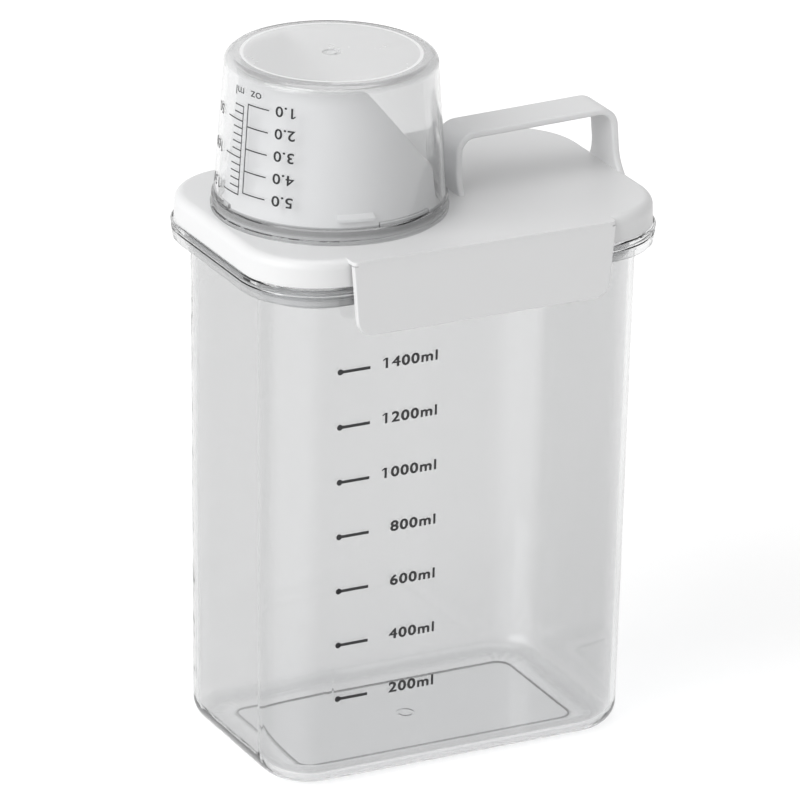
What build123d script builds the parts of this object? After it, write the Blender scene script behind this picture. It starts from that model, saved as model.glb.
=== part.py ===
"""Laundry detergent dispenser: a clear rectangular container, a white lid moulded with a strap
handle and a pouring spout, two locking wings and a clear measuring cup that caps the spout.
Millimetres. The origin is under the middle of the base, +X towards the handle, -Y is the front."""

import os
from math import cos, radians, sin, tan

from build123d import *

os.makedirs("parts", exist_ok=True)

# Container
body_length = 136.8  # outside, straight under the rim
body_depth = 87.2
body_corner = 20.5
body_draft = 0.7  # degrees that each wall leans in on its way down
wall = 1.8
floor_thickness = 2.4
base_edge_radius = 8.0
shoulder_z = 174.4  # underside of the rim's hanging lip
rim_height = 6.5
rim_overhang = 6.6  # how far the rim stands out from the wall
rim_plate = 2.1  # thickness of the rim's flat top flange
lip_thickness = 1.8
foot_ring_ends = 15.0  # width of the foot ring along X
foot_ring_sides = 15.5  # width of the foot ring along Y
foot_recess_corner = 5.0
foot_recess_height = 0.8
gate_radius = 3.2  # moulding gate mark in the middle of the base
gate_relief = 0.4

# Lid
lid_inset = 1.0  # the skirt stands this far inside the rim's edge
skirt_height = 8.9
skirt_draft = 1.5
lid_edge_radius = 3.2
lid_plate = 2.2
skirt_wall = 1.9
plug_clearance = 0.6
plug_wall = 2.4
plug_reach = 10.0  # how far the plug goes down into the container's mouth
groove_top = 2.6  # below the rim's top
groove_height = 4.4
groove_cut = 1.0
seal_clearance = 0.1
seal_lip = 0.9
seal_lip_gap = 0.1

# Locking wings
wing_end_inset = 26.1  # from each end of the lid to the wing
wing_taper = 4.4  # how much shorter the wing is at its lower edge
wing_thickness = 1.9
wing_drop = 26.0  # from the lid's top to the wing's lower edge
wing_corner = 6.0
wing_clearance = 0.3
hinge_ledge = 1.3  # thickness of the lid's ledge above the wing
hinge_gap = 0.25
ledge_corner = 1.5
hook_end_inset = 5.9
hook_reach = 1.9  # how far the hook goes in under the rim
hook_height = 2.6
hook_clearance = 0.3
wing_edge_radius = 0.5
grip_rib_count = 3  # fine ribs along the wing's inner lower edge
grip_rib_pitch = 1.8
grip_rib_start = 1.6
grip_rib_radius = 0.45
grip_rib_inset = 17.9

# Handle
handle_cup_gap = 3.3  # from the cup's mouth to the leg beside it
handle_end_inset = 0.5  # from the lid's end to the other leg's foot
handle_lean = 1.9  # how far that leg leans in on its way up
handle_left_rise = 20.7
handle_right_rise = 22.3
strap_thickness = 2.4
handle_left_radius = 7.0
handle_right_radius = 7.0
strap_width = 16.0
handle_foot_width = 23.0
foot_flare_height = 8.0
handle_edge_radius = 0.9

# Spout
spout_inset = 43.0  # from the lid's end to the spout's axis
spout_clearance = 2.0  # between the spout's foot and the cup's mouth
spout_extra_lean = 0.045  # radius lost for each millimetre of height, beyond the cup's own taper
spout_wall = 1.8
spout_top_clearance = 1.2
spout_low_height = 13.0
spout_slope = 50.0  # degrees of the oblique cut
spout_slope_x = -3.0  # where the cut leaves the top, from the spout's axis
spout_crown_radius = 3.0
spout_saddle_radius = 8.0
spout_hole_ledge = 1.9
lug_count = 3
lug_span = 20.0
lug_height = 1.8
lug_z = 7.2  # above the lid
lug_angle = -102.5

# Measuring cup
cup_height = 53.0
cup_mouth_radius = 38.7
cup_taper = 3.7  # how much narrower the cup is at its base than at its mouth
cup_wall = 1.5
cup_floor = 1.8
cup_edge_radius = 3.0
cup_flange_step = 0.6  # how far the flange stands out around the mouth
cup_flange_height = 5.2
cup_groove_z = 1.5
cup_groove_height = 0.9
cup_groove_cut = 0.7
cup_rib_span = 33.0
cup_rib_reach = 0.9
cup_rib_z = 4.6
cup_rib_height = 2.0
cup_rib_angle = -74.0
lug_clearance = 0.35

# Places that follow from the sizes above
rim_top = shoulder_z + rim_height
lid_top = rim_top + skirt_height
draft_slope = tan(radians(body_draft))
floor_shrink = 2 * draft_slope * shoulder_z
lid_length = body_length + 2 * (rim_overhang - lid_inset)
lid_depth = body_depth + 2 * (rim_overhang - lid_inset)
lid_corner = body_corner + rim_overhang - lid_inset
wing_inner_y = body_depth / 2 + rim_overhang + wing_clearance
wing_outer_y = wing_inner_y + wing_thickness
mouth_length = body_length - 2 * wall
mouth_depth = body_depth - 2 * wall
mouth_corner = body_corner - wall
wing_top_length = lid_length - 2 * wing_end_inset
wing_bottom_length = wing_top_length - wing_taper
cup_flange_radius = cup_mouth_radius + cup_flange_step
spout_x = spout_inset - lid_length / 2
spout_foot_radius = cup_mouth_radius - cup_wall - spout_clearance
spout_lean = cup_taper / cup_height + spout_extra_lean
spout_height = cup_height - cup_floor - spout_top_clearance
handle_left = spout_x + cup_flange_radius + handle_cup_gap
handle_right_foot = lid_length / 2 - handle_end_inset
handle_right_top = handle_right_foot - handle_lean


def ring_path(length, depth, corner, z):
    """A closed rounded rectangle that starts at the middle of its front side."""
    a, b, turn = length / 2, depth / 2, corner * (1 - cos(radians(45)))
    with BuildLine() as path:
        Line((0, -b, z), (a - corner, -b, z))
        ThreePointArc((a - corner, -b, z), (a - turn, -b + turn, z), (a, -b + corner, z))
        Line((a, -b + corner, z), (a, b - corner, z))
        ThreePointArc((a, b - corner, z), (a - turn, b - turn, z), (a - corner, b, z))
        Line((a - corner, b, z), (corner - a, b, z))
        ThreePointArc((corner - a, b, z), (turn - a, b - turn, z), (-a, b - corner, z))
        Line((-a, b - corner, z), (-a, corner - b, z))
        ThreePointArc((-a, corner - b, z), (turn - a, turn - b, z), (corner - a, -b, z))
        Line((corner - a, -b, z), (0, -b, z))
    return path.wires()[0]


def front_section(depth, z):
    """The plane across the middle of a front side: local x points outwards, local y up."""
    return Plane(origin=(0, -depth / 2, z), x_dir=(0, -1, 0), z_dir=(-1, 0, 0))


# The space inside the container
with BuildPart() as cavity:
    with BuildSketch(Plane.XY.offset(rim_top)):
        RectangleRounded(mouth_length, mouth_depth, mouth_corner)
    with BuildSketch(Plane.XY.offset(shoulder_z)):
        RectangleRounded(mouth_length, mouth_depth, mouth_corner)
    loft()
    with BuildSketch(Plane.XY.offset(shoulder_z)) as upper_hollow:
        RectangleRounded(mouth_length, mouth_depth, mouth_corner)
    with BuildSketch(Plane.XY.offset(floor_thickness)) as lower_hollow:
        lean = draft_slope * (shoulder_z - floor_thickness)
        RectangleRounded(mouth_length - 2 * lean, mouth_depth - 2 * lean, mouth_corner - lean)
    loft([upper_hollow.sketch, lower_hollow.sketch])
    fillet(cavity.faces().sort_by(Axis.Z)[0].edges(), base_edge_radius - wall)

# Container
with BuildPart() as container:
    with BuildSketch(Plane.XY.offset(shoulder_z)):
        RectangleRounded(body_length, body_depth, body_corner)
    with BuildSketch():
        RectangleRounded(
            body_length - floor_shrink, body_depth - floor_shrink, body_corner - floor_shrink / 2
        )
    loft()
    fillet(container.faces().sort_by(Axis.Z)[0].edges(), base_edge_radius)
    with BuildSketch(Plane.XY.offset(shoulder_z)):
        RectangleRounded(body_length, body_depth, body_corner)
    extrude(amount=rim_height)
    # the rim: a flat flange whose edge hangs down as a beaded lip
    with BuildSketch(front_section(body_depth, rim_top)):
        with BuildLine():
            Polyline(
                (-wall / 2, 0),
                (rim_overhang - 0.5, 0),
                (rim_overhang, -0.5),
                (rim_overhang, -rim_plate + 0.3),
                (rim_overhang - 0.5, -rim_plate),
                (rim_overhang - 0.5, -rim_plate - 0.5),
                (rim_overhang - 0.1, -rim_plate - 0.8),
                (rim_overhang - 0.2, -rim_height + 2.4),
                (rim_overhang - 0.6, -rim_height + 2.1),
                (rim_overhang - 0.6, -rim_height + 0.4),
                (rim_overhang - 0.9, -rim_height),
                (rim_overhang - lip_thickness, -rim_height),
                (rim_overhang - lip_thickness, -rim_plate - 0.4),
                (rim_overhang - lip_thickness - 0.6, -rim_plate),
                (1.0, -rim_plate),
                (0, -rim_plate - 1.0),
                (-wall / 2, -rim_plate - 1.0),
                close=True,
            )
        make_face()
    sweep(path=ring_path(body_length, body_depth, body_corner, rim_top))
    add(cavity.part, mode=Mode.SUBTRACT)
    # the raised floor inside the foot ring, with the gate mark in its middle
    with BuildSketch():
        RectangleRounded(
            body_length - floor_shrink - 2 * foot_ring_ends,
            body_depth - floor_shrink - 2 * foot_ring_sides,
            foot_recess_corner,
        )
    extrude(amount=foot_recess_height, mode=Mode.SUBTRACT)
    with BuildSketch(Plane.XY.offset(foot_recess_height)):
        Circle(gate_radius)
        Circle(gate_radius - 0.8, mode=Mode.SUBTRACT)
    extrude(amount=gate_relief, mode=Mode.SUBTRACT)
container.part.label = "container"
export_step(container.part, "parts/container.step")

# Handle, a flat strap that is wider at its feet
with BuildPart() as handle:
    with BuildSketch(Plane.XZ) as side_view:
        with BuildLine():
            outer_strap = FilletPolyline(
                (handle_left, lid_top - 1.0),
                (handle_left, lid_top + handle_left_rise),
                (handle_right_top, lid_top + handle_right_rise),
                (handle_right_foot, lid_top - 1.0),
                radius=(handle_left_radius, handle_right_radius),
            )
            Line(outer_strap @ 1, outer_strap @ 0)
        make_face()
        with BuildLine():
            inner_strap = FilletPolyline(
                (handle_left + strap_thickness, lid_top - 1.0),
                (handle_left + strap_thickness, lid_top + handle_left_rise - strap_thickness),
                (handle_right_top - strap_thickness, lid_top + handle_right_rise - strap_thickness),
                (handle_right_foot - strap_thickness, lid_top - 1.0),
                radius=(handle_left_radius - strap_thickness, handle_right_radius - strap_thickness),
            )
            Line(inner_strap @ 1, inner_strap @ 0)
        make_face(mode=Mode.SUBTRACT)
    extrude(amount=handle_foot_width / 2, both=True)
    with BuildSketch(Plane.YZ):
        with BuildLine():
            flare_end = (handle_foot_width / 2, lid_top - 1.0)
            flare_start = (strap_width / 2, lid_top + foot_flare_height)
            TangentArc(flare_start, flare_end, tangent=(0, -1))
            clear_height = lid_top + 2 * handle_right_rise
            Polyline(flare_start, (strap_width / 2, clear_height), (0, clear_height))
            Line(flare_end, (0, lid_top - 1.0))
            mirror(about=Plane.YZ)
        make_face()
    extrude(amount=handle_right_foot + 1.0, mode=Mode.INTERSECT)
    strap_sides = handle.faces().filter_by(lambda face: abs(face.normal_at().Y) > 0.8)
    fillet(strap_sides.edges().filter_by(lambda edge: edge.center().Z > lid_top - 0.9), handle_edge_radius)


# Spout, an oblique cone that pours from its tall side
def spout_radius(height):
    return spout_foot_radius - spout_lean * height


with BuildPart() as spout:
    blank_height = spout_height + 3.0
    with BuildSketch(Plane.XZ):
        with BuildLine():
            Polyline(
                (spout_x + spout_foot_radius, lid_top - lid_plate / 2),
                (spout_x + spout_foot_radius, lid_top),
                (spout_x + spout_radius(blank_height), lid_top + blank_height),
                (spout_x + spout_radius(blank_height) - spout_wall, lid_top + blank_height),
                (spout_x + spout_foot_radius - spout_wall, lid_top),
                (spout_x + spout_foot_radius - spout_wall, lid_top - lid_plate / 2),
                close=True,
            )
        make_face()
    revolve(axis=Axis((spout_x, 0, 0), (0, 0, 1)))
    with BuildSketch(Plane.XZ):
        with BuildLine():
            fall = (spout_height - spout_low_height) / tan(radians(spout_slope))
            cut_start = spout_x - spout_foot_radius - spout_crown_radius
            cut_end = spout_x + spout_foot_radius + spout_saddle_radius
            cut_line = FilletPolyline(
                (cut_start, lid_top + spout_height),
                (spout_x + spout_slope_x, lid_top + spout_height),
                (spout_x + spout_slope_x + fall, lid_top + spout_low_height),
                (cut_end, lid_top + spout_low_height),
                radius=(spout_crown_radius, spout_saddle_radius),
            )
            Polyline(
                (cut_end, lid_top + spout_low_height),
                (cut_end, lid_top + blank_height + 1),
                (cut_start, lid_top + blank_height + 1),
                (cut_start, lid_top + spout_height),
            )
        make_face()
    extrude(amount=spout_foot_radius + 2, both=True, mode=Mode.SUBTRACT)


def cup_radius(height):
    """The outside of the cup's tapered wall, at a height above its mouth."""
    return cup_mouth_radius - cup_taper * height / cup_height


def turned_plane(angle):
    """An upright plane through the spout's axis, with local x pointing out at that angle."""
    a = radians(angle)
    return Plane(origin=(spout_x, 0, lid_top), x_dir=(cos(a), sin(a), 0), z_dir=(sin(a), -cos(a), 0))


spout_axis = Axis((spout_x, 0, 0), (0, 0, 1))

# Lid
with BuildPart() as lid:
    with BuildSketch(Plane.XY.offset(rim_top)):
        RectangleRounded(lid_length, lid_depth, lid_corner)
    extrude(amount=skirt_height, taper=skirt_draft)
    fillet(lid.faces().sort_by(Axis.Z)[-1].edges(), lid_edge_radius)
    # ledges along the front and back, over the wings
    with BuildSketch(Plane.XY.offset(lid_top - hinge_ledge)):
        RectangleRounded(wing_top_length, 2 * wing_outer_y, ledge_corner)
    extrude(amount=hinge_ledge)
    with BuildSketch(Plane.XY.offset(rim_top)):
        RectangleRounded(lid_length - 2 * skirt_wall, lid_depth - 2 * skirt_wall, lid_corner - skirt_wall)
    extrude(amount=skirt_height - lid_plate, taper=skirt_draft, mode=Mode.SUBTRACT)
    # the plug wall, with a groove for the seal ring
    with BuildSketch(front_section(mouth_depth, rim_top)):
        with BuildLine():
            plug_outer = -plug_clearance
            plug_inner = -plug_clearance - plug_wall
            Polyline(
                (plug_outer, skirt_height - lid_plate / 2),
                (plug_outer, -groove_top),
                (plug_outer - groove_cut, -groove_top),
                (plug_outer - groove_cut, -groove_top - groove_height),
                (plug_outer, -groove_top - groove_height),
                (plug_outer, -plug_reach + 1.0),
                (plug_outer - 0.7, -plug_reach),
                (plug_inner, -plug_reach),
                (plug_inner, skirt_height - lid_plate / 2),
                close=True,
            )
        make_face()
    sweep(path=ring_path(mouth_length, mouth_depth, mouth_corner, rim_top))
    add(spout.part)
    with BuildSketch(Plane.XY.offset(lid_top)):
        with Locations((spout_x, 0)):
            Circle(spout_foot_radius - spout_wall - spout_hole_ledge)
    extrude(amount=-2 * lid_plate, mode=Mode.SUBTRACT)
    # lugs on the spout's foot that a turn of the cup locks under
    for number in range(lug_count):
        start = lug_angle - lug_span / 2 + number * 360 / lug_count
        with BuildSketch(turned_plane(start)):
            with BuildLine():
                lug_root = spout_radius(lug_z + lug_height) - spout_wall / 2
                lug_tip = cup_radius(lug_z + lug_height) - cup_wall - lug_clearance
                Polyline(
                    (lug_root, lug_z),
                    (lug_tip, lug_z),
                    (lug_tip, lug_z + lug_height / 2),
                    (lug_root, lug_z + lug_height + 0.8),
                    close=True,
                )
            make_face()
        revolve(axis=spout_axis, revolution_arc=lug_span)
    add(handle.part)
lid.part.label = "lid"
export_step(lid.part, "parts/lid.step")

# Seal ring, a soft ring with two lips in the plug wall's groove
with BuildPart() as seal_ring:
    with BuildSketch(front_section(mouth_depth, rim_top)):
        with BuildLine():
            seal_top = -groove_top - seal_clearance
            seal_bottom = -groove_top - groove_height + seal_clearance
            seal_back = -plug_clearance - groove_cut + seal_clearance
            seal_face = -plug_clearance
            seal_middle = (seal_top + seal_bottom) / 2
            Polyline(
                (seal_back, seal_top),
                (seal_face, seal_top),
                (-seal_lip_gap, seal_top - seal_lip),
                (seal_face, seal_middle + seal_lip / 2),
                (seal_face, seal_middle - seal_lip / 2),
                (-seal_lip_gap, seal_bottom + seal_lip),
                (seal_face, seal_bottom),
                (seal_back, seal_bottom),
                close=True,
            )
        make_face()
    sweep(path=ring_path(mouth_length, mouth_depth, mouth_corner, rim_top))
seal_ring.part.label = "seal_ring"
export_step(seal_ring.part, "parts/seal_ring.step")

# Locking wing on the front, hung on the ledge's lower front edge
with BuildPart() as front_wing:
    wing_high = lid_top - hinge_ledge - hinge_gap
    wing_low = lid_top - wing_drop
    with BuildSketch(Plane.XZ):
        with BuildLine():
            wing_outline = FilletPolyline(
                (-wing_top_length / 2, wing_high),
                (-wing_bottom_length / 2, wing_low),
                (wing_bottom_length / 2, wing_low),
                (wing_top_length / 2, wing_high),
                radius=wing_corner,
            )
            Line(wing_outline @ 1, wing_outline @ 0)
        make_face()
    extrude(amount=wing_outer_y)
    with BuildSketch(Plane.XZ):
        Rectangle(2 * wing_top_length, 3 * lid_top)
    extrude(amount=wing_inner_y, mode=Mode.SUBTRACT)
    fillet(front_wing.faces().sort_by(Axis.Y)[0].edges().sort_by(Axis.Z)[:-1], wing_edge_radius)
    # the hook that snaps under the rim
    with BuildSketch(Plane.YZ):
        with BuildLine():
            hook_top = shoulder_z - hook_clearance
            Polyline(
                (-wing_inner_y - 0.5, hook_top),
                (-wing_inner_y + hook_reach, hook_top),
                (-wing_inner_y + hook_reach, hook_top - 0.7),
                (-wing_inner_y, hook_top - hook_height),
                (-wing_inner_y - 0.5, hook_top - hook_height),
                close=True,
            )
        make_face()
    extrude(amount=wing_top_length / 2 - hook_end_inset, both=True)
    # fine ribs for the fingertips along the lower edge, on the inside
    for number in range(grip_rib_count):
        with BuildSketch(Plane.YZ):
            with Locations((-wing_inner_y, wing_low + grip_rib_start + number * grip_rib_pitch)):
                Circle(grip_rib_radius)
        extrude(amount=wing_top_length / 2 - grip_rib_inset, both=True)
front_wing.part.label = "front_wing"
export_step(front_wing.part, "parts/front_wing.step")

# Locking wing on the back, the same piece turned about
with BuildPart() as back_wing:
    mirror(front_wing.part, about=Plane.XZ)
back_wing.part.label = "back_wing"
export_step(back_wing.part, "parts/back_wing.step")

# Measuring cup, upside down over the spout
with BuildPart() as measuring_cup:
    with BuildSketch(Plane.XZ):
        with BuildLine():
            inner_line = FilletPolyline(
                (spout_x + cup_radius(0) - cup_wall, lid_top),
                (spout_x + cup_radius(cup_height - cup_floor) - cup_wall, lid_top + cup_height - cup_floor),
                (spout_x, lid_top + cup_height - cup_floor),
                radius=cup_edge_radius - cup_wall,
            )
            Line((spout_x, lid_top + cup_height - cup_floor), (spout_x, lid_top + cup_height))
            groove_floor = spout_x + cup_flange_radius - cup_groove_cut
            outer_line = FilletPolyline(
                (spout_x, lid_top + cup_height),
                (spout_x + cup_radius(cup_height), lid_top + cup_height),
                (spout_x + cup_radius(cup_flange_height), lid_top + cup_flange_height),
                radius=cup_edge_radius,
            )
            Polyline(
                (spout_x + cup_radius(cup_flange_height), lid_top + cup_flange_height),
                (spout_x + cup_flange_radius - 0.4, lid_top + cup_flange_height - 0.4),
                (spout_x + cup_flange_radius - 0.2, lid_top + cup_groove_z + cup_groove_height),
                (groove_floor, lid_top + cup_groove_z + cup_groove_height - 0.2),
                (groove_floor, lid_top + cup_groove_z + 0.2),
                (spout_x + cup_flange_radius, lid_top + cup_groove_z),
                (spout_x + cup_flange_radius, lid_top + 0.4),
                (spout_x + cup_flange_radius - 0.4, lid_top),
                (spout_x + cup_radius(0) - cup_wall, lid_top),
            )
        make_face()
    revolve(axis=spout_axis)
    # the locking ribs inside the mouth
    for number in range(lug_count):
        start = cup_rib_angle - cup_rib_span / 2 + number * 360 / lug_count
        with BuildSketch(turned_plane(start)):
            with BuildLine():
                rib_root = cup_radius(cup_rib_z) - cup_wall / 2
                rib_tip = cup_radius(cup_rib_z) - cup_wall - cup_rib_reach
                Polyline(
                    (rib_root, cup_rib_z),
                    (rib_tip, cup_rib_z + 0.3),
                    (rib_tip, cup_rib_z + cup_rib_height - 0.3),
                    (rib_root, cup_rib_z + cup_rib_height),
                    close=True,
                )
            make_face()
        revolve(axis=spout_axis, revolution_arc=cup_rib_span)
    # the moulding gate's dimple in the middle of the cup's base
    with BuildSketch(Plane.XY.offset(lid_top + cup_height)):
        with Locations((spout_x, 0)):
            Circle(gate_radius)
            Circle(gate_radius - 1.6, mode=Mode.SUBTRACT)
    extrude(amount=-gate_relief, mode=Mode.SUBTRACT)
measuring_cup.part.label = "measuring_cup"
export_step(measuring_cup.part, "parts/measuring_cup.step")
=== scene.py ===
"""The laundry detergent dispenser in its finished plastics: printed scales, moulded grain and the
thin hinge webs of the wings, on a pale floor under soft light. Metres, in the frame of the CAD."""

from math import cos, pi, radians, sin, tan

import bmesh
import bpy
from mathutils import Matrix, Vector
from mathutils.bvhtree import BVHTree


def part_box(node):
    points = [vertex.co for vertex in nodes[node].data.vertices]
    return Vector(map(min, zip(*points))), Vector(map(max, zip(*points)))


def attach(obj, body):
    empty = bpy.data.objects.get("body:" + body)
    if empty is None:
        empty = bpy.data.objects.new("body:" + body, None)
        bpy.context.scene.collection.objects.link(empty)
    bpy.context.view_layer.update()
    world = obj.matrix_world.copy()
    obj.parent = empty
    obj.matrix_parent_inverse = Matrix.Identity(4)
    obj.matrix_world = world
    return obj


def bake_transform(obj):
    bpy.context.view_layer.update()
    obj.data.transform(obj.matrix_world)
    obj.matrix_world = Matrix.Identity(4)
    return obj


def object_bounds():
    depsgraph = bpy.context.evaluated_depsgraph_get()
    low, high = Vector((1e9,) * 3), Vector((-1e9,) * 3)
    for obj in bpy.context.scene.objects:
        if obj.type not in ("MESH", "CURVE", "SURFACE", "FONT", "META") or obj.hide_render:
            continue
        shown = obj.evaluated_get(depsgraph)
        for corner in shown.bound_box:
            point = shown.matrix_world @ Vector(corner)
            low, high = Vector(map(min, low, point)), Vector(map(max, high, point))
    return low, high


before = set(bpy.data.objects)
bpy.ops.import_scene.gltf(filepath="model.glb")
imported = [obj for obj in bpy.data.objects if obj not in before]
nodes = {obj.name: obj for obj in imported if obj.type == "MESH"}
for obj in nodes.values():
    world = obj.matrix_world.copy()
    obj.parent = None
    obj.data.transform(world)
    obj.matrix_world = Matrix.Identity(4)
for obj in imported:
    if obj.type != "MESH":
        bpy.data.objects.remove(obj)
cad_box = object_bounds()
mm = 0.001

# Container
# A single injection-moulded box in clear SAN plastic with a slight smoky tint.
# Its walls are polished, with the faint slow waves that a thin moulding keeps as it cools.


class Signal:
    """One output of a shader node. Sums and products of signals add Math nodes."""

    def __init__(self, tree, socket=None):
        self.tree = tree
        self.socket = socket

    def node(self, kind, settings=None, output=0, **inputs):
        """A node with its settings and inputs: i0 is its first socket, Base_Color the one of that name."""
        made = self.tree.nodes.new(kind)
        for name, value in (settings or {}).items():
            setattr(made, name, value)
        for name, value in inputs.items():
            key = int(name[1:]) if name[1:].isdigit() else name.replace("_", " ")
            if isinstance(value, Signal):
                self.tree.links.new(value.socket, made.inputs[key])
            else:
                made.inputs[key].default_value = value
        return Signal(self.tree, made.outputs[output] if len(made.outputs) else None)

    def maths(self, operation, first, second):
        return self.node("ShaderNodeMath", {"operation": operation}, i0=first, i1=second)

    def vector(self, operation, output="Vector", **inputs):
        """Vector maths that starts from this signal. The other input, if there is one, is i1."""
        return self.node("ShaderNodeVectorMath", {"operation": operation}, output, i0=self, **inputs)

    def along(self, axis):
        """One of the three parts, X, Y or Z, of a place."""
        return self.node("ShaderNodeSeparateXYZ", output=axis, Vector=self)

    def __add__(self, other):
        return self.maths("ADD", self, other)

    def __sub__(self, other):
        return self.maths("SUBTRACT", self, other)

    def __rsub__(self, other):
        return self.maths("SUBTRACT", other, self)

    def __mul__(self, other):
        return self.maths("MULTIPLY", self, other)

    __radd__ = __add__
    __rmul__ = __mul__


def new_material(name):
    """A bare material, with a signal to start its nodes from."""
    material = bpy.data.materials.new(name)
    material.use_nodes = True
    material.node_tree.nodes.clear()
    return material, Signal(material.node_tree)


def show(start, surface):
    """Ends a material or the world in its output node."""
    kind = "ShaderNodeOutputWorld" if "Background" in surface.socket.name else "ShaderNodeOutputMaterial"
    start.node(kind, Surface=surface)


def speckle(start, size, detail=2.0):
    """Noise in the object's own metres, with blotches of about that size."""
    place = start.node("ShaderNodeTexCoord", output="Object")
    return start.node("ShaderNodeTexNoise", output="Fac", Vector=place, Scale=1 / size, Detail=detail)


def dress(node_name, material):
    """Gives a CAD node a finished material in place of its plain one."""
    slots = nodes[node_name].data.materials
    slots.clear()
    slots.append(material)


san_index = 1.57  # SAN plastic's refractive index
polish = 0.005
smudge_size = 12 * mm
smudge_roughness = 0.03
frost_roughness = 0.25


def clear_plastic(start, tint, lamp_tint, wave_size, wave_depth, frost):
    """Polished clear plastic that lets lamps through, so that what stands behind it stays lit."""
    smudge = speckle(start, smudge_size, 4.0)
    wave = speckle(start, wave_size)
    surface_wave = start.node("ShaderNodeBump", Strength=1.0, Distance=wave_depth, Height=wave)
    glass = start.node(
        "ShaderNodeBsdfPrincipled",
        Base_Color=tint,
        Roughness=smudge * smudge_roughness + frost * frost_roughness + polish,
        IOR=san_index,
        Transmission_Weight=1.0,
        Normal=surface_wave,
    )
    lamp_light = start.node("ShaderNodeBsdfTransparent", Color=lamp_tint)
    shadow = start.node("ShaderNodeLightPath", output="Is Shadow Ray")
    bounce = start.node("ShaderNodeLightPath", output="Is Diffuse Ray")
    return start.node("ShaderNodeMixShader", i0=shadow + bounce, i1=glass, i2=lamp_light)


def smooth_step(start, value, low, high):
    """0 up to the low value, 1 from the high value on."""
    settings = {"interpolation_type": "SMOOTHSTEP"}
    return start.node("ShaderNodeMapRange", settings, Value=value, From_Min=low, From_Max=high)


def cool_grey(level):
    return [level, level * 1.003, level * 1.006, 1]


def blend_colours(start, share, first, second):
    """A colour that goes from the first to the second as the share goes from 0 to 1."""
    return start.node("ShaderNodeMix", {"data_type": "RGBA"}, "Result", Factor=share, i6=first, i7=second)


container_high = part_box("container")[1]
rim_overhang = 6.6 * mm
rim_height = 6.5 * mm
wall_lean = tan(radians(0.7))  # each wall leans in on its way down
body_half_length = container_high.x - rim_overhang  # straight under the rim
body_half_depth = container_high.y - rim_overhang
foot_shrink = (container_high.z - rim_height) * wall_lean
body_wave_size = 30 * mm
body_wave_depth = 0.04 * mm
body_shade = 0.76
# Painted shade: the end walls get a darker tint, standing in for how the light falls on them.
painted_end_shade = 0.7  # the end walls look a little darker
end_thickness = 3.0 * mm
end_fade = 1.0 * mm
# Painted highlight: the rounded corners get a lighter tint.
painted_corner_highlight = 0.83  # and the rounded corners lighter
corner_width = 9.0 * mm
corner_fade = 8.0 * mm
body_lamp_tint = (0.95, 0.952, 0.955, 1)
recess_half_length = body_half_length - foot_shrink - 15.0 * mm  # the raised floor inside the foot ring
recess_half_depth = body_half_depth - foot_shrink - 15.5 * mm
recess_corner = 5.0 * mm
recess_height = 0.8 * mm
# Painted shade: a dark line along the step, standing in for the shade the step makes in the plastic.
recess_line = 1.0 * mm  # its step draws a dark line
painted_step_shade = 0.06
edge_height = 3.5 * mm  # the container's thick bottom edge, where the plastic looks milky
edge_inset = 6.0 * mm
edge_milk_share = 0.18
edge_milk = (0.72, 0.722, 0.725, 1)

clear_body, start = new_material("clear_body")
place = start.node("ShaderNodeTexCoord", output="Object")
up_the_wall = place.along("Z")
folded = place.vector("MULTIPLY", i1=(1, 1, 0)).vector("ABSOLUTE")  # one quarter stands for all four
corner_centre = (recess_half_length - recess_corner, recess_half_depth - recess_corner, 0)
past_centre = folded.vector("SUBTRACT", i1=corner_centre).vector("MAXIMUM", i1=(0, 0, 0))
past_recess = past_centre.vector("LENGTH", "Value") - recess_corner
from_step = start.maths("ABSOLUTE", past_recess, 0)
painted_step_mask = 1 - smooth_step(start, from_step, recess_line / 2, recess_line)
painted_step_mask = painted_step_mask * (1 - smooth_step(start, up_the_wall, recess_height, 1.1 * recess_height))
end_start = body_half_length - end_thickness
in_end = smooth_step(start, folded.along("X"), end_start - end_fade, end_start)
corner_start = body_half_length - corner_width
painted_highlight_corners = smooth_step(start, folded.along("X"), corner_start - corner_fade, corner_start)
corner_start = body_half_depth - corner_width
painted_highlight_corners = painted_highlight_corners * smooth_step(start, folded.along("Y"), corner_start - corner_fade, corner_start)
# The body's tint, with painted shade on the end walls, a painted highlight on the rounded corners and a
# painted dark line along the foot's step.
body_tint_and_painted_light = blend_colours(start, in_end, cool_grey(body_shade), cool_grey(painted_end_shade))
body_tint_and_painted_light = blend_colours(start, painted_highlight_corners, body_tint_and_painted_light, cool_grey(painted_corner_highlight))
body_tint_and_painted_light = blend_colours(start, painted_step_mask, body_tint_and_painted_light, cool_grey(painted_step_shade))
milky_edge = smooth_step(start, past_recess, edge_inset / 2, edge_inset)
milky_edge = milky_edge * (1 - smooth_step(start, up_the_wall, edge_height / 2, edge_height))
clear = clear_plastic(start, body_tint_and_painted_light, body_lamp_tint, body_wave_size, body_wave_depth, 0)
milk = start.node("ShaderNodeBsdfDiffuse", Color=edge_milk)
show(start, start.node("ShaderNodeMixShader", i0=milky_edge * edge_milk_share, i1=clear, i2=milk))
dress("container", clear_body)

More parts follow.
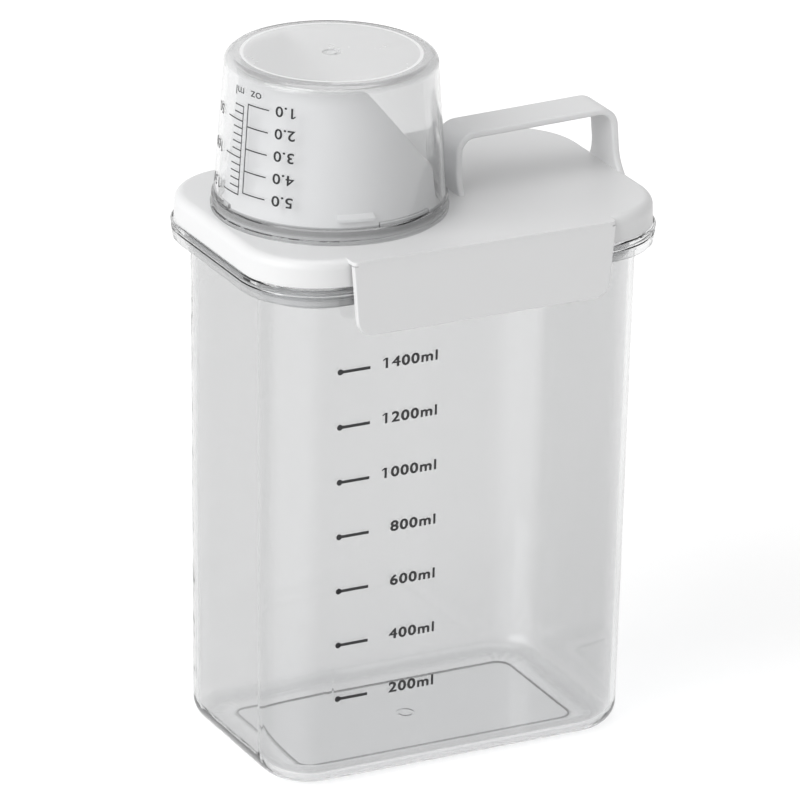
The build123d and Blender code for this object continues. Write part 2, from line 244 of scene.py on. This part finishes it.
# Scale on the container
# Seven lines from 200 to 1400 ml, pad printed in dark ink on the front wall.
# Each line starts in a dot and has its figure to the right, in round plain type.
ink_lift = 0.04 * mm
ink_thickness = 0.03 * mm
ink_grain = 0.6 * mm
ink_dark = (0.006, 0.006, 0.007, 1)
ink_thin = (0.016, 0.016, 0.018, 1)
ink_roughness = 0.3
digit_share = 0.7  # how much of a letter's size its digits stand up
mark_x = -42.6 * mm  # the middle of the top mark
mark_length = 11.4 * mm
mark_stroke = 1.05 * mm
mark_dot = 1.05 * mm
mark_low = 32.1 * mm
mark_step = 19.47 * mm
mark_count = 7
mark_amount = 200  # millilitres from one mark to the next
figure_gap = 30.5 * mm  # from a mark's middle to the right end of its figure
figure_rise = 0.7 * mm
figure_height = 3.5 * mm
figure_width = 1.22  # the figures are wider than the plain letters
figure_weight = 0.048
figure_spacing = 1.14
flag_back = 0.08  # the flag of a leading 1, as shares of the figure's height
flag_rise = 0.87
flag_reach = 0.17
flag_stroke = 0.06
flag_turn = radians(40)


def add_bar(print_mesh, left, right, low, high, pieces=4):
    """A printed stroke, cut across so that it can follow a curved wall."""
    middle = Matrix.Translation(((left + right) / 2, (low + high) / 2, 0))
    size = Matrix.Diagonal(((right - left) / 2, (high - low) / 2, 1, 1))
    bmesh.ops.create_grid(print_mesh, x_segments=pieces, y_segments=1, size=1, matrix=middle @ size)


def embolden(flat, growth):
    """Moves the outlines of flat letters outwards, which leaves the eyes of the letters open."""
    outlines = bmesh.new()
    outlines.from_mesh(flat)
    bmesh.ops.remove_doubles(outlines, verts=outlines.verts, dist=0.001 * mm)
    outlines.normal_update()
    moves = []
    for vertex in outlines.verts:
        outward = Vector()
        for edge in vertex.link_edges:
            if edge.is_boundary:
                rim = edge.link_loops[0]
                stroke = rim.link_loop_next.vert.co - rim.vert.co
                outward += stroke.cross(rim.face.normal).normalized()
        moves.append(outward.normalized() * growth)
    for vertex, move in zip(outlines.verts, moves):
        vertex.co += move
    outlines.to_mesh(flat)
    outlines.free()


def add_words(print_mesh, words, x, y, height, weight, spacing=1.0, align="CENTER", turned=0):
    """Printed words at x, y. They are made a mesh before they are placed, and a leading 1 gets its flag."""
    letters = bpy.data.curves.new(words, "FONT")
    letters.body = words
    letters.size = height / digit_share
    letters.align_x = align
    letters.space_character = spacing
    letters.resolution_u = 5
    holder = bpy.data.objects.new(words, letters)
    bpy.context.scene.collection.objects.link(holder)
    shown = holder.evaluated_get(bpy.context.evaluated_depsgraph_get())
    flat = bpy.data.meshes.new_from_object(shown)
    embolden(flat, height * weight)
    widen = Matrix.Diagonal((figure_width, 1, 1, 1))
    place = Matrix.Translation((x, y, 0)) @ Matrix.Rotation(turned, 4, "Z")
    place = place @ Matrix.Translation((0, -height / 2, 0)) @ widen
    if words[0] == "1":
        stem = min(corner.co.x for corner in flat.vertices)
        flag = Matrix.Translation((stem - flag_back * height, flag_rise * height, 0))
        flag = flag @ Matrix.Rotation(flag_turn, 4, "Z")
        flag = flag @ Matrix.Diagonal((flag_reach * height, flag_stroke * height, 1, 1))
        bmesh.ops.create_grid(print_mesh, x_segments=1, y_segments=1, size=1, matrix=place @ flag)
    flat.transform(place)
    print_mesh.from_mesh(flat)
    bpy.data.objects.remove(holder)


def print_on(name, print_mesh, node_name, aim):
    """Lays flat print on a node's wall. aim gives a start point and a direction for each x, y."""
    bmesh.ops.remove_doubles(print_mesh, verts=print_mesh.verts, dist=0.001 * mm)
    wall = nodes[node_name].data
    corners = [v.co for v in wall.vertices]
    wall_tree = BVHTree.FromPolygons(corners, [face.vertices for face in wall.polygons])
    for vertex in print_mesh.verts:
        start, direction = aim(vertex.co.x, vertex.co.y)
        hit = wall_tree.ray_cast(start, direction)[0]
        vertex.co = hit - direction * ink_lift
    mesh = bpy.data.meshes.new(name)
    print_mesh.to_mesh(mesh)
    print_mesh.free()
    piece = bpy.data.objects.new(name, mesh)
    bpy.context.scene.collection.objects.link(piece)
    layer = piece.modifiers.new("ink layer", "SOLIDIFY")
    layer.thickness = ink_thickness
    layer.offset = 1
    mesh.materials.append(ink)
    return piece


ink, start = new_material("ink")
ink_cover = speckle(start, ink_grain, 3.0)
ink_colour = blend_colours(start, ink_cover, ink_dark, ink_thin)
ink_sheen = ink_cover * 0.2 + ink_roughness
show(start, start.node("ShaderNodeBsdfPrincipled", Base_Color=ink_colour, Roughness=ink_sheen))

container_print = bmesh.new()
for number in range(mark_count):
    height = mark_low + number * mark_step
    middle_x = mark_x + (mark_count - 1 - number) * mark_step * wall_lean
    left, right = middle_x - mark_length / 2, middle_x + mark_length / 2
    add_bar(container_print, left, right, height - mark_stroke / 2, height + mark_stroke / 2)
    dot = Matrix.Translation((left + mark_dot / 2, height, 0))
    bmesh.ops.create_circle(container_print, cap_ends=True, segments=20, radius=mark_dot, matrix=dot)
    words = f"{mark_amount * (number + 1)}ml"
    figure_end = middle_x + figure_gap
    figure_place = (figure_end, height + figure_rise, figure_height)
    add_words(container_print, words, *figure_place, figure_weight, figure_spacing, "RIGHT")


def at_front_wall(x, y):
    return Vector((x, 2 * cad_box[0][1], y)), Vector((0, 1, 0))


container_scale = print_on("container_scale", container_print, "container", at_front_wall)
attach(container_scale, "container_and_lid")

# Lid and wings
# Both are white polypropylene with a fine satin grain. The wings hang on webs moulded with the lid,
# thin enough to fold, and the strap handle and the spout are parts of the lid's own moulding.
white_colour = (0.715, 0.717, 0.72, 1)
shadier_share = 0.985  # the faint clouds of the moulding
grain_size = 0.5 * mm
grain_depth = 0.01 * mm
cloud_size = 20 * mm
white_roughness = 0.36
polypropylene_index = 1.49


def white_plastic(name):
    material, start = new_material(name)
    grain = speckle(start, grain_size, 1.0)
    cloud = speckle(start, cloud_size, 3.0)
    shadier = [shadier_share * value for value in white_colour[:3]] + [1]
    shade = blend_colours(start, cloud, shadier, white_colour)
    satin = start.node("ShaderNodeBump", Strength=1.0, Distance=grain_depth, Height=grain)
    plastic = start.node(
        "ShaderNodeBsdfPrincipled",
        Base_Color=shade,
        Roughness=grain * 0.08 + cloud * 0.05 + white_roughness,
        IOR=polypropylene_index,
        Normal=satin,
    )
    show(start, plastic)
    return material


lid_white = white_plastic("white_lid")
dress("lid", lid_white)
dress("front_wing", lid_white)
dress("back_wing", lid_white)

# Hinge webs
# The wings are moulded with the lid and hang on a web of the same white plastic, thin enough to
# fold for years. It closes the gap between the lid's ledge and each wing's upper edge.
lid_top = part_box("measuring_cup")[0].z
ledge_thickness = 1.3 * mm
web_inset = 1.5 * mm  # from the ends of the wing
web_lift = 0.02 * mm
web_thickness = 0.06 * mm
web_lap = 0.5 * mm  # how far it laps over the ledge and the wing
web_folds = 6


def hinge_web(wing_name, side):
    """A strip cut across where it folds. side is -1 at the front and 1 at the back."""
    wing_low, wing_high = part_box(wing_name)
    face = (wing_low.y if side < 0 else wing_high.y) + side * web_lift
    gap_high, gap_low = lid_top - ledge_thickness, wing_high.z
    high, low = gap_high + web_lap, gap_low - web_lap
    half_length = (wing_high.x - wing_low.x) / 2 - web_inset
    middle = Matrix.Translation((0, face + side * web_thickness / 2, (high + low) / 2))
    size = Matrix.Diagonal((2 * half_length, web_thickness, high - low, 1))
    web = bmesh.new()
    bmesh.ops.create_cube(web, size=1, matrix=middle @ size)
    for fold in range(web_folds + 1):
        level = gap_low + (gap_high - gap_low) * fold / web_folds
        whole = web.verts[:] + web.edges[:] + web.faces[:]
        bmesh.ops.bisect_plane(web, geom=whole, plane_co=(0, 0, level), plane_no=(0, 0, 1))
    mesh = bpy.data.meshes.new(wing_name.replace("wing", "hinge_web"))
    web.to_mesh(mesh)
    web.free()
    mesh.materials.append(lid_white)
    piece = bpy.data.objects.new(mesh.name, mesh)
    bpy.context.scene.collection.objects.link(piece)
    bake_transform(piece)


hinge_web("front_wing", -1)
hinge_web("back_wing", 1)

# Seal ring
# A soft silicone ring, milky and a little clear, pressed into the groove of the lid's plug.
# Only its two lips touch the container's mouth.
silicone_colour = (0.7, 0.71, 0.72, 1)
silicone_clarity = 0.3
silicone_roughness = 0.4
silicone_index = 1.41
powder_size = 4 * mm

silicone, start = new_material("silicone")
powder = speckle(start, powder_size, 3.0)
rubber = start.node(
    "ShaderNodeBsdfPrincipled",
    Base_Color=silicone_colour,
    Roughness=powder * 0.2 + silicone_roughness,
    IOR=silicone_index,
    Transmission_Weight=silicone_clarity,
)
show(start, rubber)
dress("seal_ring", silicone)

# Measuring cup
# A clear turned-over cup with a thicker rolled mouth, moulded in the container's own plastic and
# lightly frosted on its base. It stands on the lid around the spout, and its inner ribs lock under
# the spout's lugs.
cup_wave_size = 20 * mm
cup_wave_depth = 0.03 * mm
cup_shade = 0.905
# Painted shade: the cup's side away from the lamp gets a darker tint.
cup_painted_shade_right = 0.77  # the side away from the lamp
right_start = -28.0 * mm  # from the cup's axis
right_end = 24.0 * mm
# Painted shade: the thick mouth gets a darker tint, most of all in its upper half.
flange_painted_shade = 0.36  # the thick mouth is darker, most of all in its upper half
flange_low_painted_shade = 0.58
flange_height = 5.8 * mm
flange_fade = 0.3 * mm
cup_lamp_tint = (0.96, 0.962, 0.965, 1)
base_radius = 29.8 * mm  # the frosted base, inside its rounded edge
base_depth = 2.0 * mm
base_milk_depth = 0.6 * mm
base_milk_share = 0.62
base_milk_shade = 0.82
# Painted highlight: a paler ring of milk where the frosted base meets the rounded edge.
ring_width = 1.2 * mm  # the frosting ends in a paler ring
ring_milk_share = 0.85
ring_painted_highlight = 0.93
# Partly painted shade: the rounded edge is a little milky, and its milk gets a darker colour.
edge_depth = 3.2 * mm  # the rounded edge is a little milky and darker
edge_cover = 0.3
cup_edge_painted_shade = 0.55
cup_low, cup_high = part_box("measuring_cup")
cup_axis = (cup_low + cup_high) / 2

clear_cup, start = new_material("clear_cup")
place = start.node("ShaderNodeTexCoord", output="Object")
flat_place = place.vector("MULTIPLY", i1=(1, 1, 0))
from_axis = flat_place.vector("DISTANCE", "Value", i1=(cup_axis.x, cup_axis.y, 0))
up_the_cup = place.along("Z")
below_base = cup_high.z - up_the_cup
inside_edge = 1 - smooth_step(start, from_axis, base_radius, base_radius + ring_width / 2)
in_highlight_ring = smooth_step(start, from_axis, base_radius - ring_width, base_radius - ring_width / 2) * inside_edge
frosted = (1 - smooth_step(start, below_base, base_depth / 2, base_depth)) * inside_edge
on_base = (1 - smooth_step(start, below_base, base_milk_depth / 2, base_milk_depth)) * inside_edge
on_edge = (1 - smooth_step(start, below_base, edge_depth / 2, edge_depth)) * (1 - inside_edge)
flange_top = cup_low.z + flange_height
flange_middle = cup_low.z + flange_height / 2
in_flange = 1 - smooth_step(start, up_the_cup, flange_top - flange_fade, flange_top)
in_low_flange = 1 - smooth_step(start, up_the_cup, flange_middle - flange_fade, flange_middle)
on_right = smooth_step(start, place.along("X") - cup_axis.x, right_start, right_end)
# The cup's tint, with painted shade on its right side and in its mouth.
cup_tint_and_painted_shade = blend_colours(start, on_right, cool_grey(cup_shade), cool_grey(cup_painted_shade_right))
cup_tint_and_painted_shade = blend_colours(start, in_flange, cup_tint_and_painted_shade, cool_grey(flange_painted_shade))
cup_tint_and_painted_shade = blend_colours(start, in_low_flange, cup_tint_and_painted_shade, cool_grey(flange_low_painted_shade))
clear = clear_plastic(start, cup_tint_and_painted_shade, cup_lamp_tint, cup_wave_size, cup_wave_depth, frosted)
# The milk's colour, with a painted highlight on the ring and painted shade on the rounded edge.
milk_and_painted_light_colour = blend_colours(start, in_highlight_ring, cool_grey(base_milk_shade), cool_grey(ring_painted_highlight))
milk_and_painted_light_colour = blend_colours(start, on_edge, milk_and_painted_light_colour, cool_grey(cup_edge_painted_shade))
milk = start.node("ShaderNodeBsdfPrincipled", Base_Color=milk_and_painted_light_colour, Roughness=1.0, Specular_IOR_Level=0.0)
milk_cover = on_base * (in_highlight_ring * (ring_milk_share - base_milk_share) + base_milk_share)
milk_cover = milk_cover + on_edge * edge_cover
show(start, start.node("ShaderNodeMixShader", i0=milk_cover, i1=clear, i2=milk))
dress("measuring_cup", clear_cup)

# Scales on the cup
# Ounces from 1.0 to 5.0 and millilitres from 30 to 150, printed to be read with the mouth up,
# so they stand on their heads while the cup is on the lid.
cup_reach = cup_high.x - cup_low.x
print_radius = 36.5 * mm  # where the flat print's width is true
ounce_angle = radians(-165.1)
ounce_top = cup_low.z + 42.7 * mm
ounce_step = 7.5 * mm
ounce_count = 5
ounce_tick = 9.4 * mm
ounce_figure = radians(-140.5)
ounce_figure_rise = 0.5 * mm
ounce_unit = radians(-159.5)
ounce_unit_rise = 3.6 * mm
ml_angle = radians(-168.6)
ml_first = 30
ml_last = 150
ml_zero = cup_low.z + 48.7 * mm
ml_step = 2.48 * mm
ml_tick = 4.6 * mm
ml_long_tick = 8.4 * mm
ml_figure = radians(-193.9)
ml_unit = radians(-172.5)
ml_unit_rise = 3.4 * mm
line_stroke = 0.42 * mm
cup_figure_height = 3.4 * mm
cup_figure_weight = 0.025
cup_figure_spacing = 1.06
cup_unit_height = 3.0 * mm


def around(angle):
    return angle * print_radius


def at_cup_wall(x, y):
    angle = x / print_radius
    out = Vector((cos(angle), sin(angle), 0))
    return Vector((cup_axis.x, cup_axis.y, y)) + out * cup_reach, -out


cup_print = bmesh.new()
line_left = around(ounce_angle)
line_low = ounce_top - (ounce_count - 1) * ounce_step
add_bar(cup_print, line_left, line_left + line_stroke, line_low, ounce_top + line_stroke, 1)
ounce_type = (cup_figure_height, cup_figure_weight, cup_figure_spacing)
for number in range(ounce_count):
    height = ounce_top - number * ounce_step
    add_bar(cup_print, line_left, line_left + ounce_tick, height, height + line_stroke, 8)
    words = f"{number + 1}.0"
    add_words(cup_print, words, around(ounce_figure), height + ounce_figure_rise, *ounce_type, turned=pi)
add_words(cup_print, "oz", around(ounce_unit), ounce_top + ounce_unit_rise, cup_unit_height, 0, turned=pi)

ml_right = around(ml_angle)
ml_low = ml_zero - ml_last / 10 * ml_step
ml_high = ml_zero - ml_first / 10 * ml_step
add_bar(cup_print, ml_right, ml_right + line_stroke, ml_low, ml_high + line_stroke, 1)
for amount in range(ml_first, ml_last + 1, 10):
    height = ml_zero - amount / 10 * ml_step
    reach = ml_long_tick if amount % 50 == 0 else ml_tick
    add_bar(cup_print, ml_right - reach, ml_right, height, height + line_stroke, 4)
    if amount % 50 == 0:
        add_words(cup_print, str(amount), around(ml_figure), height, cup_figure_height, 0, turned=pi)
add_words(cup_print, "ml", around(ml_unit), ounce_top + ml_unit_rise, cup_unit_height, 0, turned=pi)
cup_scale = print_on("cup_scale", cup_print, "measuring_cup", at_cup_wall)
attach(cup_scale, "measuring_cup")

# Floor, world and lamps
# A plain white sweep under an even sky, with one broad soft lamp from the left.
# What is white behind the object stays white in the plastic too, and the floor keeps its shadow.
floor_radius = 6.0
paper_white = 0.94
paper_lift = 0.2  # what is seen of the floor comes out plain white
floor_mesh = bmesh.new()
bmesh.ops.create_circle(floor_mesh, cap_ends=True, segments=64, radius=floor_radius)
floor_data = bpy.data.meshes.new("floor")
floor_mesh.to_mesh(floor_data)
floor_mesh.free()
floor = bpy.data.objects.new("floor", floor_data)
bpy.context.scene.collection.objects.link(floor)


def seen_in_plastic(start):
    """1 for what shows in a reflection or through clear plastic."""
    glossy = start.node("ShaderNodeLightPath", output="Is Glossy Ray")
    through = start.node("ShaderNodeLightPath", output="Is Transmission Ray")
    return start.maths("MAXIMUM", glossy, through)


paper, start = new_material("paper")
matt = start.node("ShaderNodeBsdfDiffuse", Color=(paper_white, paper_white, paper_white, 1))
lift = start.node("ShaderNodeEmission", Color=(1, 1, 1, 1), Strength=paper_lift)
both = start.node("ShaderNodeAddShader", i0=matt, i1=lift)
camera_ray = start.node("ShaderNodeLightPath", output="Is Camera Ray")
seen = start.maths("MAXIMUM", camera_ray, seen_in_plastic(start))
show(start, start.node("ShaderNodeMixShader", i0=seen, i1=matt, i2=both))
floor_data.materials.append(paper)

sky_level = 0.6
ceiling_level = 0.45  # the dim ceiling that draws the plastic's edges
ceiling_from = 0.4  # how steep a ray has to look to see it
ceiling_full = 0.75
softbox_level = 3.5  # a broad lamp straight above, which shows in polished edges
softbox_from = 0.86
softbox_full = 0.93
world = bpy.data.worlds.new("studio")
world.use_nodes = True
world.node_tree.nodes.clear()
start = Signal(world.node_tree)
direction = start.node("ShaderNodeTexCoord", output="Generated")
steepness = direction.along("Z")
dimming = smooth_step(start, steepness, ceiling_from, ceiling_full) * (1 - ceiling_level)
camera_ray = start.node("ShaderNodeLightPath", output="Is Camera Ray")
glossy_ray = start.node("ShaderNodeLightPath", output="Is Glossy Ray")
seen_level = 1 - dimming - sky_level
softbox = smooth_step(start, steepness, softbox_from, softbox_full) * glossy_ray * softbox_level
level = sky_level + camera_ray * (1 - sky_level) + seen_in_plastic(start) * seen_level + softbox
show(start, start.node("ShaderNodeBackground", Color=(1, 1, 1, 1), Strength=level))
bpy.context.scene.world = world

key_from = Vector((-0.57, -0.12, 0.38))  # its length is the lamp's strength
key_spread = radians(50)
key = bpy.data.lights.new("key", "SUN")
key.energy = key_from.length * pi
key.angle = key_spread
key_lamp = bpy.data.objects.new("key", key)
key_lamp.rotation_euler = key_from.to_track_quat("Z", "Y").to_euler()
bpy.context.scene.collection.objects.link(key_lamp)

# Camera
# A long lens that looks down on the front and the left side.
camera_azimuth = radians(-27.109)
camera_elevation = radians(21.650)
camera_roll = radians(1.022)
camera_distance = 2.3976
camera_target = Vector((-3.727 * mm, 0, 116.396 * mm))
pixels_per_metre = 2996
image_width = 800

back = Vector(
    (
        sin(camera_azimuth) * cos(camera_elevation),
        -cos(camera_azimuth) * cos(camera_elevation),
        sin(camera_elevation),
    )
)
level_right = (-back).cross(Vector((0, 0, 1))).normalized()
level_up = level_right.cross(-back)
right = level_right * cos(camera_roll) + level_up * sin(camera_roll)
up = level_up * cos(camera_roll) - level_right * sin(camera_roll)
lens = bpy.data.cameras.new("camera")
lens.lens = pixels_per_metre * camera_distance / image_width * lens.sensor_width
camera = bpy.data.objects.new("camera", lens)
camera.matrix_world = Matrix.Translation(camera_target + back * camera_distance) @ Matrix(
    (right, up, back)
).transposed().to_4x4()
bpy.context.scene.collection.objects.link(camera)
bpy.context.scene.camera = camera
bpy.context.scene.view_settings.view_transform = "Standard"

bpy.context.view_layer.update()
